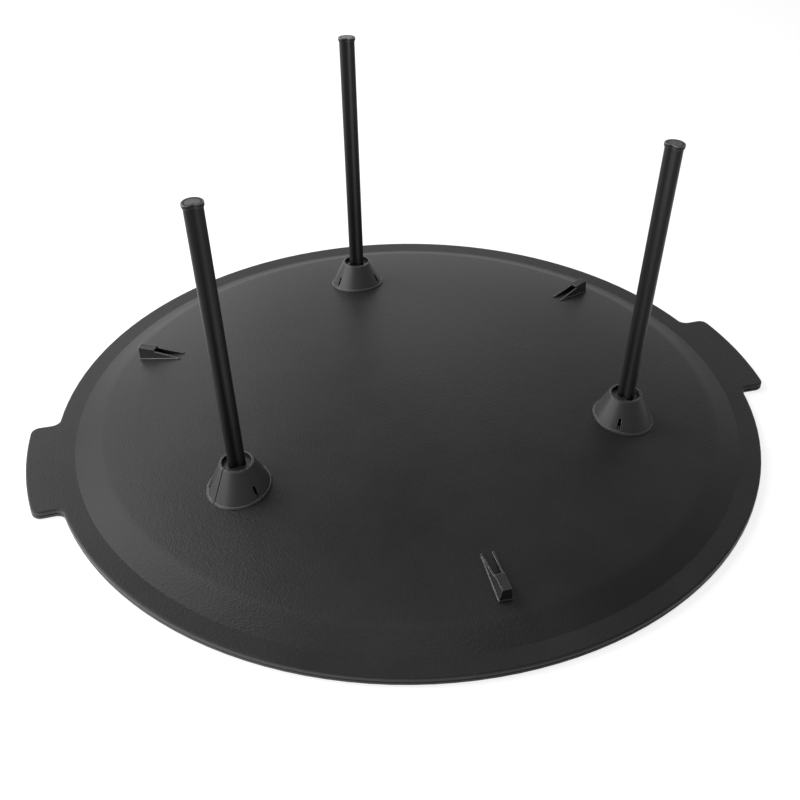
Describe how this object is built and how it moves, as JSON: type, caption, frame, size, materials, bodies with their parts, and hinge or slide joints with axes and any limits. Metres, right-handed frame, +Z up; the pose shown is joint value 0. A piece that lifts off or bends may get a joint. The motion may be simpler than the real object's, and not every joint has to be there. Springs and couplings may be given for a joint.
{
  "type": "roundnet rebound board",
  "caption": "Round rebound board lying face down, with tab handles, a domed underside, conical clip-in leg sockets, grooved plug-in legs with foot caps and small hooks.",
  "frame": {"origin": "on the floor under the middle of the round board, in the plane of the playing face", "axes": "+X through the two tab handles, +Y through leg socket 1, +Z up, from the playing face towards the legs' feet"},
  "size_m": [0.982, 0.9138, 0.4087],
  "materials": {
    "panel": "fine matte texture",
    "shell": "fine matte texture",
    "socket": "satin",
    "tube": "gloss",
    "cap": "satin",
    "hook": "matte"
  },
  "bodies": {
    "board": {"playing_panel": "panel", "underside_shell": "shell", "leg_socket_1": "socket", "leg_socket_2": "socket", "leg_socket_3": "socket", "storage_hook_1": "hook", "storage_hook_2": "hook", "storage_hook_3": "hook"},
    "leg_1": {"leg_tube_1": "tube", "foot_cap_1": "cap"},
    "leg_2": {"leg_tube_2": "tube", "foot_cap_2": "cap"},
    "leg_3": {"leg_tube_3": "tube", "foot_cap_3": "cap"}
  },
  "joints": [
    {"name": "leg_1_pull", "type": "slide", "parent": "board", "child": "leg_1", "axis": [0, 0.0384, 0.9993], "range_m": [0, 0.045]},
    {"name": "leg_2_pull", "type": "slide", "parent": "board", "child": "leg_2", "axis": [-0.0332, -0.0192, 0.9993], "range_m": [0, 0.045]},
    {"name": "leg_3_pull", "type": "slide", "parent": "board", "child": "leg_3", "axis": [0.0332, -0.0192, 0.9993], "range_m": [0, 0.045]}
  ]
}
